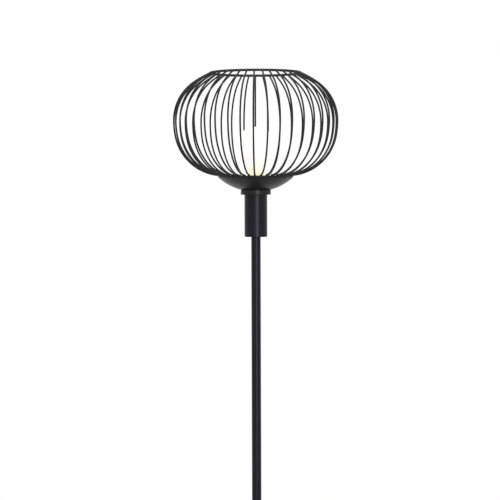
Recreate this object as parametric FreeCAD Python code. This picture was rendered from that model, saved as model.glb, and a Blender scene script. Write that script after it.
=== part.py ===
"""Wire cage floor lamp.

A weighted disc carries a pole in two sections. A cup on the pole hides the lampholder, a dish is
clamped on the cup, and a cage of bent wires is welded to the dish's rim round an opal globe bulb.

Millimetres. Origin: centre of the foot, on the floor. +Z up, front of the lamp -Y, cord inlet +Y.
"""
import FreeCAD, Part
import math
import os

Vector = FreeCAD.Vector
UP = Vector(0, 0, 1)
BACK = Vector(0, 1, 0)
RIGHT = Vector(1, 0, 0)

# ---- Driving dimensions -------------------------------------------------------------------------

# Foot
FELT_THICKNESS = 2.0
FELT_INSET = 0.8
BASE_RADIUS = 130.0
BASE_COVER_HEIGHT = 22.0
BASE_EDGE_ROUND = 6.0
BASE_COVER_WALL = 1.2
WEIGHT_SIDE_GAP = 0.8
NUT_RECESS_DEPTH = 15.5
NUT_RECESS_RADIUS = 15.0
CHANNEL_WIDTH = 12.0
CHANNEL_DEPTH = 13.0
BUSH_LEVEL = 9.0
BUSH_BODY_RADIUS = 4.6
BUSH_BORE_RADIUS = 3.2
BUSH_FLANGE_RADIUS = 6.5
BUSH_FLANGE_THICKNESS = 2.0
BUSH_INSIDE_LENGTH = 9.0
BLOCK_DISTANCE = 46.0
BLOCK_LENGTH = 18.0
BLOCK_WIDTH = 20.0
BLOCK_HEIGHT = 9.0
BLOCK_POLE_PITCH = 8.0
BLOCK_SCREW_RADIUS = 1.6
BLOCK_SCREW_LENGTH = 3.0

# Pole
POLE_RADIUS = 9.5
POLE_WALL = 1.2
LOWER_POLE_LENGTH = 572.0
UPPER_POLE_LENGTH = 572.0
PLUG_LENGTH = 20.0
JOINER_LENGTH = 32.0

# Hollow threaded rod, its nuts and washers. The thread itself isn't drawn.
ROD_RADIUS = 5.0
ROD_BORE_RADIUS = 3.5
ROD_IN_PLUG = 16.0
NUT_ACROSS_FLATS = 14.0
NUT_HEIGHT = 4.5
WASHER_RADIUS = 12.0
WASHER_THICKNESS = 1.5
ROD_PAST_NUT = 1.0

# Lampholder cup and collar
CUP_RADIUS = 23.0
CUP_WALL = 1.2
CUP_HEIGHT = 90.0
CUP_FLOOR_ROUND = 1.6
COLLAR_RADIUS = 30.5
COLLAR_HEIGHT = 9.4
COLLAR_REBATE = 5.0
COLLAR_CHAMFER = 0.6

# Dish
DISH_RIM_RADIUS = 75.0
DISH_SEAT_RADIUS = 28.0
DISH_DEPTH = 25.0
DISH_WALL = 1.2

# Lampholder
SKIRT_RADIUS = 19.75
SKIRT_WALL = 2.2
SKIRT_HEIGHT = 40.0
SKIRT_ABOVE_SEAT = 24.0
SKIRT_LIP_RADIUS = 14.4
SKIRT_LIP_THICKNESS = 3.0
HOLDER_CAP_HEIGHT = 24.0
HOLDER_CAP_FLOOR = 3.0
HOLDER_NECK_RADIUS = 8.5
HOLDER_NECK_LENGTH = 10.0
NECK_SCREW_RADIUS = 1.5
NECK_SCREW_PROUD = 0.5
CORE_FLANGE_RADIUS = 18.6
CORE_FLANGE_THICKNESS = 3.0
CORE_RADIUS = 16.5
CORE_ABOVE_FLANGE = 7.0
CORE_BELOW_FLANGE = 6.0
TERMINAL_OFFSET = 7.5
TERMINAL_RADIUS = 2.8
TERMINAL_LENGTH = 6.0
TERMINAL_SOCKET_DEPTH = 3.6
TERMINAL_SCREW_LEVEL = 1.8
TERMINAL_SCREW_RADIUS = 1.0
TERMINAL_SCREW_PROUD = 1.5
SHELL_BORE_RADIUS = 13.4
SHELL_WALL = 0.4
SHELL_FLOOR_HOLE_RADIUS = 7.5
CONTACT_WIDTH = 5.0
CONTACT_THICKNESS = 0.5
CONTACT_LENGTH = 10.0
CONTACT_PAD_LENGTH = 4.0
SHADE_RING_RADIUS = 26.5
SHADE_RING_HEIGHT = 5.0

# Bulb, measured up from the tip of its end contact
BULB_LENGTH = 128.0
BULB_GLOBE_RADIUS = 40.0
BULB_TIP_BELOW_HOLDER_TOP = 24.5
BULB_GLASS_WALL = 0.8
BULB_NECK_RADIUS = 13.6
BULB_SLEEVE_RADIUS = 12.4
BULB_SLEEVE_LENGTH = 5.0
BULB_CAP_RADIUS = 13.1
BULB_CAP_WALL = 0.3
BULB_CAP_HEIGHT = 26.0
BULB_CAP_TAPER = 2.0
BULB_INSULATOR_HEIGHT = 4.0
BULB_INSULATOR_TOP_RADIUS = 10.0
BULB_CONTACT_RADIUS = 4.5
BULB_CONTACT_HEIGHT = 1.5
BULB_CONTACT_TIP_RADIUS = 3.0
BULB_STEM_RADIUS = 4.0
BULB_STEM_FLANGE_THICKNESS = 2.0
FILAMENT_RADIUS = 1.0
FILAMENT_LENGTH = 32.0
FILAMENT_COUNT = 4

# Cage. Heights are above the dish's rim and radii go to the wire's centre line.
TOP_RING_WIRE_DIAMETER = 5.0
BOTTOM_RING_WIRE_DIAMETER = 4.0
RIB_WIRE_DIAMETER = 3.5
RIB_COUNT = 40
FIRST_RIB_ANGLE = -1.5
TOP_RING_RADIUS = 91.0
TOP_RING_HEIGHT = 211.1
CAGE_RADIUS = 165.2
CAGE_WIDEST_HEIGHT = 115.0
RIB_TOP_SLOPE = 24.0
RIB_FOOT_SLOPE = 4.9
UPPER_ARC_RATIO = 2.5
LOWER_ARC_RATIO = 5.0
WELD_SINK = 0.9
RIB_WIRE_SIDES = 6
RING_WIRE_SIDES = 8

# Leads
LEAD_RADIUS = 1.0
LEAD_SPACING = 2.3
LEAD_FOOT_BEND = 3.0
LEAD_HEAD_BEND = 4.2

# Clearances
THREAD_CLEARANCE = 0.05
SLIP_CLEARANCE = 0.1
PASS_CLEARANCE = 0.4
SHELL_TOP_GAP = 0.4
CONTACT_GAP = 0.3

# ---- Levels that follow from them ---------------------------------------------------------------

base_top = FELT_THICKNESS + BASE_COVER_HEIGHT
weight_top = base_top - BASE_COVER_WALL
pole_joint = base_top + LOWER_POLE_LENGTH
pole_top = pole_joint + UPPER_POLE_LENGTH
cup_top = pole_top + CUP_HEIGHT
dish_seat = cup_top - COLLAR_REBATE + COLLAR_HEIGHT
dish_rim = dish_seat + DISH_DEPTH
holder_top = dish_seat + SKIRT_ABOVE_SEAT
holder_joint = holder_top - SKIRT_HEIGHT
holder_floor = holder_joint - HOLDER_CAP_HEIGHT
core_top = holder_joint + CORE_FLANGE_THICKNESS + CORE_ABOVE_FLANGE
core_bottom = holder_joint - CORE_BELOW_FLANGE
bulb_tip = holder_top - BULB_TIP_BELOW_HOLDER_TOP
bulb_cap_top = bulb_tip + BULB_CAP_HEIGHT
bulb_centre = bulb_tip + BULB_LENGTH - BULB_GLOBE_RADIUS
recess_ceiling = FELT_THICKNESS + NUT_RECESS_DEPTH
nipple_bottom = recess_ceiling - WASHER_THICKNESS - NUT_HEIGHT - ROD_PAST_NUT
lead_level = nipple_bottom - LEAD_FOOT_BEND
rod_hole_radius = ROD_RADIUS + PASS_CLEARANCE
skirt_hole_radius = SKIRT_RADIUS + PASS_CLEARANCE


# ---- Shapes used by many pieces -----------------------------------------------------------------

def disc(radius, low, high, x=0.0, y=0.0):
    """Upright cylinder between two levels."""
    return Part.makeCylinder(radius, high - low, Vector(x, y, low))


def tube(radius, bore_radius, low, high):
    """Upright tube between two levels."""
    return disc(radius, low, high).cut(disc(bore_radius, low, high))


def block(x_size, y_low, y_high, z_low, z_high):
    """Box centred on x."""
    corner = Vector(-x_size / 2, y_low, z_low)
    return Part.makeBox(x_size, y_high - y_low, z_high - z_low, corner)


def turned(start, *steps):
    """Solid of revolution about Z from a closed (radius, level) outline.

    A step is the next point, or a pair (middle, end) that makes a circular arc.
    """
    edges = []
    here = start
    for step in steps + (start,):
        if isinstance(step[0], tuple):
            middle, there = step
            arc = Part.Arc(in_section(here), in_section(middle), in_section(there))
            edges.append(arc.toShape())
        else:
            there = step
            edges.append(Part.LineSegment(in_section(here), in_section(there)).toShape())
        here = there
    return Part.Face(Part.Wire(edges)).revolve(Vector(0, 0, 0), UP, 360)


def in_section(point):
    """(radius, level) as a point of the XZ plane."""
    return Vector(point[0], 0, point[1])


def circle_point(centre, radius, angle):
    """Point on a circle of the XZ plane, by its angle above the horizontal."""
    turn = math.radians(angle)
    return (centre[0] + radius * math.cos(turn), centre[1] + radius * math.sin(turn))


def hex_nut(low):
    """Nut on the threaded rod."""
    corner_radius = NUT_ACROSS_FLATS / math.sqrt(3)
    corners = []
    for index in range(7):
        turn = math.radians(60 * index)
        corners.append(Vector(corner_radius * math.cos(turn), corner_radius * math.sin(turn), low))
    body = Part.Face(Part.makePolygon(corners)).extrude(UP * NUT_HEIGHT)
    return body.cut(disc(ROD_RADIUS + THREAD_CLEARANCE, low, low + NUT_HEIGHT))


def rod_washer(low):
    """Plain washer on the threaded rod."""
    return tube(WASHER_RADIUS, rod_hole_radius, low, low + WASHER_THICKNESS)


def swept(section, start, heading, points):
    """Solid that follows a chain of tangent arcs and straight runs through the points."""
    solids = []
    here = start
    for there in points:
        chord = there - here
        ahead = chord.dot(heading)
        aside = chord - heading * ahead
        if aside.Length < 1e-6:
            solids.append(section.extrude(chord))
            section = section.translated(chord)
        else:
            radius = chord.Length ** 2 / (2 * aside.Length)
            centre = here + aside.normalize() * radius
            axis = heading.cross(aside)
            angle = 2 * math.degrees(heading.getAngle(chord))
            solids.append(section.revolve(centre, axis, angle))
            section = section.copy()
            section.rotate(centre, axis, angle)
            heading = FreeCAD.Rotation(axis, angle).multVec(heading)
        here = there
    return solids[0].multiFuse(solids[1:]).removeSplitter() if len(solids) > 1 else solids[0]


def wire_section(diameter, sides, centre, across, along):
    """Flat-sided section with the area of a round wire, one corner on the across direction."""
    corner_radius = corner_reach(diameter, sides)
    corners = []
    for index in range(sides + 1):
        turn = 2 * math.pi * index / sides
        corners.append(centre + across * (corner_radius * math.cos(turn))
                       + along * (corner_radius * math.sin(turn)))
    return Part.Face(Part.makePolygon(corners))


def corner_reach(diameter, sides):
    """Centre to corner of that section."""
    turn = 2 * math.pi / sides
    return diameter / 2 * math.sqrt(turn / math.sin(turn))


# ---- Foot ---------------------------------------------------------------------------------------

def domed_disc(radius, low, high, edge_round):
    """Disc whose top edge is rounded."""
    centre = (radius - edge_round, high - edge_round)
    return turned((0, low), (radius, low), (radius, centre[1]),
                  (circle_point(centre, edge_round, 45), (centre[0], high)), (0, high))


def inlet_cutter(radius):
    """Cylinder along the cord inlet, from the axis out past the back of the foot."""
    start = Vector(0, 0, BUSH_LEVEL)
    return Part.makeCylinder(radius, BASE_RADIUS * 1.2, start, BACK)


def make_base_felt():
    return disc(BASE_RADIUS - FELT_INSET, 0, FELT_THICKNESS)


def make_base_cover():
    shell = domed_disc(BASE_RADIUS, FELT_THICKNESS, base_top, BASE_EDGE_ROUND)
    inside_round = max(BASE_EDGE_ROUND - BASE_COVER_WALL, 0.2)
    inside = domed_disc(BASE_RADIUS - BASE_COVER_WALL, FELT_THICKNESS, weight_top, inside_round)
    shell = shell.cut(inside)
    shell = shell.cut(disc(rod_hole_radius, FELT_THICKNESS, base_top))
    return shell.cut(inlet_cutter(BUSH_BODY_RADIUS + SLIP_CLEARANCE))


def make_base_weight():
    radius = BASE_RADIUS - BASE_COVER_WALL - WEIGHT_SIDE_GAP
    weight = domed_disc(radius, FELT_THICKNESS, weight_top, BASE_EDGE_ROUND)
    weight = weight.cut(disc(rod_hole_radius, FELT_THICKNESS, weight_top))
    weight = weight.cut(disc(NUT_RECESS_RADIUS, FELT_THICKNESS, recess_ceiling))
    channel_ceiling = FELT_THICKNESS + CHANNEL_DEPTH
    weight = weight.cut(block(CHANNEL_WIDTH, 0, radius, FELT_THICKNESS, channel_ceiling))
    pocket_low = BLOCK_DISTANCE - SLIP_CLEARANCE
    pocket_high = BLOCK_DISTANCE + BLOCK_LENGTH + SLIP_CLEARANCE
    pocket_ceiling = lead_level + BLOCK_HEIGHT / 2
    pocket_width = BLOCK_WIDTH + 2 * SLIP_CLEARANCE
    pocket = block(pocket_width, pocket_low, pocket_high, FELT_THICKNESS, pocket_ceiling)
    return weight.cut(pocket)


def make_base_nipple():
    return tube(ROD_RADIUS, ROD_BORE_RADIUS, nipple_bottom, base_top + ROD_IN_PLUG)


def make_base_washer():
    return rod_washer(recess_ceiling - WASHER_THICKNESS)


def make_base_nut():
    return hex_nut(recess_ceiling - WASHER_THICKNESS - NUT_HEIGHT)


def make_cord_bush():
    """Flanged bush in the cover's back wall, with a clear bore."""
    wall_outside = math.sqrt(BASE_RADIUS ** 2 - BUSH_FLANGE_RADIUS ** 2)
    inner_end = BASE_RADIUS - BASE_COVER_WALL - BUSH_INSIDE_LENGTH
    outer_end = BASE_RADIUS + BUSH_FLANGE_THICKNESS
    body = Part.makeCylinder(BUSH_BODY_RADIUS, outer_end - inner_end,
                             Vector(0, inner_end, BUSH_LEVEL), BACK)
    flange = Part.makeCylinder(BUSH_FLANGE_RADIUS, outer_end - wall_outside,
                               Vector(0, wall_outside, BUSH_LEVEL), BACK)
    flange = flange.cut(disc(BASE_RADIUS, 0, base_top))
    bore = Part.makeCylinder(BUSH_BORE_RADIUS, outer_end - inner_end,
                             Vector(0, inner_end, BUSH_LEVEL), BACK)
    return body.fuse(flange).cut(bore).removeSplitter()


def make_terminal_block():
    """Two-pole block in the weight's pocket, with a wire hole and a screw hole for each pole."""
    low = lead_level - BLOCK_HEIGHT / 2
    high = lead_level + BLOCK_HEIGHT / 2
    body = block(BLOCK_WIDTH, BLOCK_DISTANCE, BLOCK_DISTANCE + BLOCK_LENGTH, low, high)
    for side in (-1, 1):
        hole = Part.makeCylinder(LEAD_RADIUS + SLIP_CLEARANCE, BLOCK_LENGTH,
                                 Vector(side * BLOCK_POLE_PITCH / 2, BLOCK_DISTANCE, lead_level),
                                 BACK)
        body = body.cut(hole)
    for x, y in block_screw_places():
        body = body.cut(disc(BLOCK_SCREW_RADIUS + SLIP_CLEARANCE, low, lead_level, x, y))
    return body


def block_screw_places():
    """One screw at each end of each pole."""
    places = []
    for side in (-1, 1):
        for share in (0.25, 0.75):
            places.append((side * BLOCK_POLE_PITCH / 2, BLOCK_DISTANCE + BLOCK_LENGTH * share))
    return places


def make_terminal_block_screws():
    high = lead_level - LEAD_RADIUS - SLIP_CLEARANCE
    return [disc(BLOCK_SCREW_RADIUS, high - BLOCK_SCREW_LENGTH, high, x, y)
            for x, y in block_screw_places()]


# ---- Pole ---------------------------------------------------------------------------------------

def make_pole(low, high):
    return tube(POLE_RADIUS, POLE_RADIUS - POLE_WALL, low, high)


def make_plug(low, high):
    """Turned plug pressed into the end of a pole section, tapped for the rod."""
    return tube(POLE_RADIUS - POLE_WALL - THREAD_CLEARANCE, ROD_RADIUS + THREAD_CLEARANCE, low, high)


def make_pole_joiner():
    half = JOINER_LENGTH / 2
    return tube(ROD_RADIUS, ROD_BORE_RADIUS, pole_joint - half, pole_joint + half)


# ---- Cup, collar and dish -----------------------------------------------------------------------

def make_holder_cup():
    floor_centre = (CUP_RADIUS - CUP_FLOOR_ROUND, pole_top + CUP_FLOOR_ROUND)
    return turned((rod_hole_radius, pole_top), (floor_centre[0], pole_top),
                  (circle_point(floor_centre, CUP_FLOOR_ROUND, -45), (CUP_RADIUS, floor_centre[1])),
                  (CUP_RADIUS, cup_top), (CUP_RADIUS - CUP_WALL, cup_top),
                  (CUP_RADIUS - CUP_WALL, pole_top + CUP_WALL),
                  (rod_hole_radius, pole_top + CUP_WALL))


def make_cup_stem():
    return tube(ROD_RADIUS, ROD_BORE_RADIUS, pole_top - ROD_IN_PLUG, holder_floor + HOLDER_CAP_FLOOR)


def make_cup_collar():
    """Turned ring that sits on the cup's rim and carries the dish."""
    low = cup_top - COLLAR_REBATE
    rebate_radius = CUP_RADIUS + THREAD_CLEARANCE
    edge = COLLAR_CHAMFER
    return turned((rebate_radius, low), (COLLAR_RADIUS - edge, low), (COLLAR_RADIUS, low + edge),
                  (COLLAR_RADIUS, dish_seat - edge), (COLLAR_RADIUS - edge, dish_seat),
                  (skirt_hole_radius, dish_seat), (skirt_hole_radius, cup_top),
                  (rebate_radius, cup_top))


def dish_sphere():
    """Height of the dish's centre of curvature above the rim, and its outer radius."""
    height = (DISH_SEAT_RADIUS ** 2 + DISH_DEPTH ** 2 - DISH_RIM_RADIUS ** 2) / (-2 * DISH_DEPTH)
    return height, math.hypot(DISH_RIM_RADIUS, height)


def dish_radius_at(level, inset):
    """Radius of the dish's wall at a level, on the face that lies inset from the outer one."""
    height, radius = dish_sphere()
    return math.sqrt((radius - inset) ** 2 - (dish_rim + height - level) ** 2)


def make_dish():
    """Spun dish: one spherical wall, a flat seat and a hole for the lampholder's skirt."""
    middle = dish_seat + DISH_DEPTH / 2
    floor = dish_seat + DISH_WALL
    return turned((skirt_hole_radius, dish_seat), (DISH_SEAT_RADIUS, dish_seat),
                  ((dish_radius_at(middle, 0), middle), (DISH_RIM_RADIUS, dish_rim)),
                  (dish_radius_at(dish_rim, DISH_WALL), dish_rim),
                  ((dish_radius_at(middle, DISH_WALL), middle),
                   (dish_radius_at(floor, DISH_WALL), floor)),
                  (skirt_hole_radius, floor))


# ---- Lampholder ---------------------------------------------------------------------------------

def make_holder_cap():
    """Lower half of the case: a cup with a tapped neck, and a threaded hole for its grub screw."""
    neck_low = holder_floor - HOLDER_NECK_LENGTH
    bore = ROD_RADIUS + THREAD_CLEARANCE
    inside = SKIRT_RADIUS - SKIRT_WALL
    cap = turned((bore, neck_low), (HOLDER_NECK_RADIUS, neck_low), (HOLDER_NECK_RADIUS, holder_floor),
                 (SKIRT_RADIUS, holder_floor), (SKIRT_RADIUS, holder_joint), (inside, holder_joint),
                 (inside, holder_floor + HOLDER_CAP_FLOOR), (bore, holder_floor + HOLDER_CAP_FLOOR))
    return cap.cut(neck_screw(NECK_SCREW_RADIUS + THREAD_CLEARANCE, 0))


def neck_screw(radius, tip):
    """Grub screw along X in the neck, from its tip's distance to the axis, or the hole for it."""
    start = Vector(tip, 0, holder_floor - HOLDER_NECK_LENGTH / 2)
    return Part.makeCylinder(radius, HOLDER_NECK_RADIUS + NECK_SCREW_PROUD - tip, start, RIGHT)


def make_holder_core():
    """Ceramic insert: its flange is held between the cap's rim and the skirt's rebate."""
    flange_top = holder_joint + CORE_FLANGE_THICKNESS
    core = disc(CORE_RADIUS, core_bottom, core_top)
    return core.fuse(disc(CORE_FLANGE_RADIUS, holder_joint, flange_top)).removeSplitter()


def make_holder_skirt():
    inside = SKIRT_RADIUS - SKIRT_WALL
    rebate = CORE_FLANGE_RADIUS + SLIP_CLEARANCE
    flange_top = holder_joint + CORE_FLANGE_THICKNESS
    lip_low = holder_top - SKIRT_LIP_THICKNESS
    return turned((rebate, holder_joint), (SKIRT_RADIUS, holder_joint), (SKIRT_RADIUS, holder_top),
                  (SKIRT_LIP_RADIUS, holder_top), (SKIRT_LIP_RADIUS, lip_low), (inside, lip_low),
                  (inside, flange_top), (rebate, flange_top))


def make_screw_shell():
    outside = SHELL_BORE_RADIUS + SHELL_WALL
    top = holder_top - SKIRT_LIP_THICKNESS - SHELL_TOP_GAP
    floor = core_top + SHELL_WALL
    return turned((SHELL_FLOOR_HOLE_RADIUS, core_top), (outside, core_top), (outside, top),
                  (SHELL_BORE_RADIUS, top), (SHELL_BORE_RADIUS, floor),
                  (SHELL_FLOOR_HOLE_RADIUS, floor))


def make_centre_contact():
    """Strip folded once: its foot lies on the core and its pad springs against the bulb."""
    top = bulb_tip - CONTACT_GAP
    thick = CONTACT_THICKNESS
    foot = -CONTACT_LENGTH / 2
    fold = CONTACT_LENGTH / 2
    pad = CONTACT_PAD_LENGTH / 2
    outline = [(foot, core_top), (fold, core_top), (fold, core_top + thick), (pad, top),
               (-pad, top), (-pad, top - thick), (pad - thick, top - thick),
               (fold - 2 * thick, core_top + thick), (foot, core_top + thick)]
    corners = [Vector(-CONTACT_WIDTH / 2, y, z) for y, z in outline + outline[:1]]
    return Part.Face(Part.makePolygon(corners)).extrude(RIGHT * CONTACT_WIDTH)


def terminal_low():
    return core_bottom - TERMINAL_LENGTH


def terminal_screw(side, radius, tip):
    """Cross screw that closes on the lead in its post, or the hole for it.

    The tip is measured from the post's axis.
    """
    head = TERMINAL_RADIUS + TERMINAL_SCREW_PROUD
    start = Vector(side * TERMINAL_OFFSET, -head, terminal_low() + TERMINAL_SCREW_LEVEL)
    return Part.makeCylinder(radius, head - tip, start, BACK)


def make_holder_terminals():
    posts = []
    low = terminal_low()
    for side in (-1, 1):
        x = side * TERMINAL_OFFSET
        post = disc(TERMINAL_RADIUS, low, core_bottom, x)
        post = post.cut(disc(LEAD_RADIUS + SLIP_CLEARANCE, low, low + TERMINAL_SOCKET_DEPTH, x))
        screw_hole = terminal_screw(side, TERMINAL_SCREW_RADIUS + THREAD_CLEARANCE, 0)
        posts.append(post.cut(screw_hole))
    return posts


def make_holder_terminal_screws():
    tip = LEAD_RADIUS + SLIP_CLEARANCE
    return [terminal_screw(side, TERMINAL_SCREW_RADIUS, tip) for side in (-1, 1)]


def make_shade_ring():
    low = dish_seat + DISH_WALL
    return tube(SHADE_RING_RADIUS, SKIRT_RADIUS + SLIP_CLEARANCE, low, low + SHADE_RING_HEIGHT)


# ---- Leads --------------------------------------------------------------------------------------

def make_lead(side):
    """One lead from the block, through the foot and up the pole, to its post in the lampholder."""
    block_x = side * BLOCK_POLE_PITCH / 2
    pole_x = side * LEAD_SPACING / 2
    post_x = side * TERMINAL_OFFSET
    end = terminal_low() + TERMINAL_SOCKET_DEPTH
    s_shift = abs(post_x - pole_x)
    s_rise = 2 * math.sqrt(LEAD_HEAD_BEND ** 2 - (LEAD_HEAD_BEND - s_shift / 2) ** 2)
    s_low = terminal_low() - s_rise
    start = Vector(block_x, BLOCK_DISTANCE + BLOCK_LENGTH * 0.4, lead_level)
    towards_axis = Vector(0, -1, 0)
    splay_from = BLOCK_DISTANCE - 2 * LEAD_FOOT_BEND
    splay_to = 4 * LEAD_FOOT_BEND
    points = [Vector(block_x, splay_from, lead_level),
              Vector((block_x + pole_x) / 2, (splay_from + splay_to) / 2, lead_level),
              Vector(pole_x, splay_to, lead_level),
              Vector(pole_x, LEAD_FOOT_BEND, lead_level),
              Vector(pole_x, 0, lead_level + LEAD_FOOT_BEND),
              Vector(pole_x, 0, s_low),
              Vector((pole_x + post_x) / 2, 0, s_low + s_rise / 2),
              Vector(post_x, 0, terminal_low()),
              Vector(post_x, 0, end)]
    section = Part.Face(Part.Wire([Part.Circle(start, towards_axis, LEAD_RADIUS).toShape()]))
    return swept(section, start, towards_axis, points)


# ---- Bulb ---------------------------------------------------------------------------------------

def make_bulb_globe():
    """Blown glass envelope: a sphere, a neck that is tangent to it, and a sleeve in the cap."""
    outer = BULB_GLOBE_RADIUS
    inner = outer - BULB_GLASS_WALL
    globe_centre = (0, bulb_centre)
    neck_height = bulb_centre - bulb_cap_top
    neck_to_centre = math.hypot(BULB_NECK_RADIUS, neck_height)
    lean = math.asin(outer / neck_to_centre) - math.atan2(BULB_NECK_RADIUS, neck_height)
    tangency = -math.degrees(lean)
    upper_middle = (tangency + 90) / 2
    sleeve_low = bulb_cap_top - BULB_SLEEVE_LENGTH
    sleeve_bore = BULB_SLEEVE_RADIUS - BULB_GLASS_WALL
    shoulder = bulb_cap_top + BULB_GLASS_WALL
    neck_bore = BULB_NECK_RADIUS + BULB_GLASS_WALL * (math.tan(lean) - 1 / math.cos(lean))
    return turned(
        (BULB_SLEEVE_RADIUS, sleeve_low), (BULB_SLEEVE_RADIUS, bulb_cap_top),
        (BULB_NECK_RADIUS, bulb_cap_top), circle_point(globe_centre, outer, tangency),
        (circle_point(globe_centre, outer, upper_middle), (0, bulb_centre + outer)),
        (0, bulb_centre + inner),
        (circle_point(globe_centre, inner, upper_middle),
         circle_point(globe_centre, inner, tangency)),
        (neck_bore, shoulder), (sleeve_bore, shoulder), (sleeve_bore, sleeve_low))


def make_bulb_cap():
    """Plated shell of the screw cap. Its thread isn't drawn."""
    low = bulb_tip + BULB_CONTACT_HEIGHT + BULB_INSULATOR_HEIGHT
    outer = BULB_CAP_RADIUS
    inner = outer - BULB_CAP_WALL
    foot = BULB_INSULATOR_TOP_RADIUS
    taper = low + BULB_CAP_TAPER
    return turned((foot - 2 * BULB_CAP_WALL, low), (foot, low), (outer, taper),
                  (outer, bulb_cap_top), (inner, bulb_cap_top), (inner, taper + BULB_CAP_WALL),
                  (foot - 2 * BULB_CAP_WALL, low + BULB_CAP_WALL))


def make_bulb_insulator():
    high = bulb_tip + BULB_CONTACT_HEIGHT + BULB_INSULATOR_HEIGHT
    low = bulb_tip + BULB_CONTACT_HEIGHT
    return turned((0, low), (BULB_CONTACT_RADIUS, low), (BULB_INSULATOR_TOP_RADIUS, high), (0, high))


def make_bulb_end_contact():
    high = bulb_tip + BULB_CONTACT_HEIGHT
    return turned((0, bulb_tip), (BULB_CONTACT_TIP_RADIUS, bulb_tip), (BULB_CONTACT_RADIUS, high),
                  (0, high))


def make_bulb_stem():
    """Glass stem on a flange inside the neck, up to the middle of the globe."""
    low = bulb_cap_top + BULB_GLASS_WALL
    flange_radius = BULB_NECK_RADIUS - BULB_GLASS_WALL - THREAD_CLEARANCE
    flange = disc(flange_radius, low, low + BULB_STEM_FLANGE_THICKNESS)
    return flange.fuse(disc(BULB_STEM_RADIUS, low, bulb_centre)).removeSplitter()


def make_bulb_filaments():
    """Light sticks that stand against the stem's upper end."""
    place = BULB_STEM_RADIUS + FILAMENT_RADIUS
    low = bulb_centre - FILAMENT_LENGTH / 2
    sticks = []
    for index in range(FILAMENT_COUNT):
        turn = 2 * math.pi * index / FILAMENT_COUNT
        sticks.append(disc(FILAMENT_RADIUS, low, low + FILAMENT_LENGTH,
                           place * math.cos(turn), place * math.sin(turn)))
    return sticks


# ---- Cage ---------------------------------------------------------------------------------------

def bottom_ring_radius():
    """The bottom ring runs along the middle of the dish's rim."""
    return (DISH_RIM_RADIUS + dish_radius_at(dish_rim, DISH_WALL)) / 2


def bottom_ring_level():
    """The ring's flat underside lies on the rim."""
    half_turn = math.pi / RING_WIRE_SIDES
    corner = corner_reach(BOTTOM_RING_WIRE_DIAMETER, RING_WIRE_SIDES)
    return dish_rim + corner * math.cos(half_turn)


def make_wire_ring(wire_diameter, radius, level):
    """Butt-welded wire ring, with a flat of its section underneath."""
    tilt = math.pi / RING_WIRE_SIDES
    across = Vector(math.cos(tilt), 0, math.sin(tilt))
    along = Vector(-math.sin(tilt), 0, math.cos(tilt))
    section = wire_section(wire_diameter, RING_WIRE_SIDES, Vector(radius, 0, level), across, along)
    return section.revolve(Vector(0, 0, level), UP, 360)


def biarc_joint(start, start_heading, end, end_heading, ratio):
    """Point where two tangent arcs meet between two points with given headings."""
    way = end - start
    blend = start_heading + end_heading * ratio
    a = blend.dot(blend) - (1 + ratio) ** 2
    b = -2 * way.dot(blend)
    c = way.dot(way)
    reach = (-b - math.sqrt(b * b - 4 * a * c)) / (2 * a)
    near = start + start_heading * reach
    far = end - end_heading * (ratio * reach)
    return (near * ratio + far) * (1 / (1 + ratio))


def slope_heading(side, slope):
    """Direction in the XZ plane, pointing down by the slope; side is 1 outward, -1 inward."""
    turn = math.radians(slope)
    return Vector(side * math.cos(turn), 0, -math.sin(turn))


def make_rib(rings):
    """One rib: four tangent arcs in an upright plane, with both ends coped onto the rings."""
    foot_rise = (BOTTOM_RING_WIRE_DIAMETER + RIB_WIRE_DIAMETER) / 2 - WELD_SINK
    top = Vector(TOP_RING_RADIUS, 0, dish_rim + TOP_RING_HEIGHT)
    widest = Vector(CAGE_RADIUS, 0, dish_rim + CAGE_WIDEST_HEIGHT)
    foot = Vector(bottom_ring_radius(), 0, bottom_ring_level() + foot_rise)
    start_heading = slope_heading(1, RIB_TOP_SLOPE)
    end_heading = slope_heading(-1, RIB_FOOT_SLOPE)
    down = Vector(0, 0, -1)
    points = [biarc_joint(top, start_heading, widest, down, UPPER_ARC_RATIO), widest,
              biarc_joint(widest, down, foot, end_heading, LOWER_ARC_RATIO), foot]
    across = start_heading.cross(BACK)
    section = wire_section(RIB_WIRE_DIAMETER, RIB_WIRE_SIDES, top, across, BACK)
    rib = swept(section, top, start_heading, points)
    for ring in rings:
        rib = rib.cut(ring)
    return max(rib.Solids, key=lambda solid: solid.Volume)


def make_cage_ribs(rings):
    """The rib, repeated at an even pitch all round."""
    rib = make_rib(rings)
    ribs = []
    for index in range(RIB_COUNT):
        turned_rib = rib.copy()
        turned_rib.rotate(Vector(0, 0, 0), UP, FIRST_RIB_ANGLE + 360 / RIB_COUNT * index)
        ribs.append(turned_rib)
    return ribs


# ---- Assembly -----------------------------------------------------------------------------------

def write_node(name, shape):
    """One STEP file for each node; a list of solids makes a group of like pieces."""
    if isinstance(shape, list):
        shape = Part.makeCompound(shape)
    assert shape.isValid(), name
    shape.exportStep("parts/" + name + ".step")
    print(name, len(shape.Solids), "solid(s)", round(shape.Volume), "mm3")


os.makedirs("parts", exist_ok=True)

top_ring = make_wire_ring(TOP_RING_WIRE_DIAMETER, TOP_RING_RADIUS, dish_rim + TOP_RING_HEIGHT)
bottom_ring = make_wire_ring(BOTTOM_RING_WIRE_DIAMETER, bottom_ring_radius(), bottom_ring_level())

write_node("base_felt", make_base_felt())
write_node("base_cover", make_base_cover())
write_node("base_weight", make_base_weight())
write_node("base_nipple", make_base_nipple())
write_node("base_washer", make_base_washer())
write_node("base_nut", make_base_nut())
write_node("cord_bush", make_cord_bush())
write_node("terminal_block", make_terminal_block())
write_node("terminal_block_screws", make_terminal_block_screws())

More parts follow.
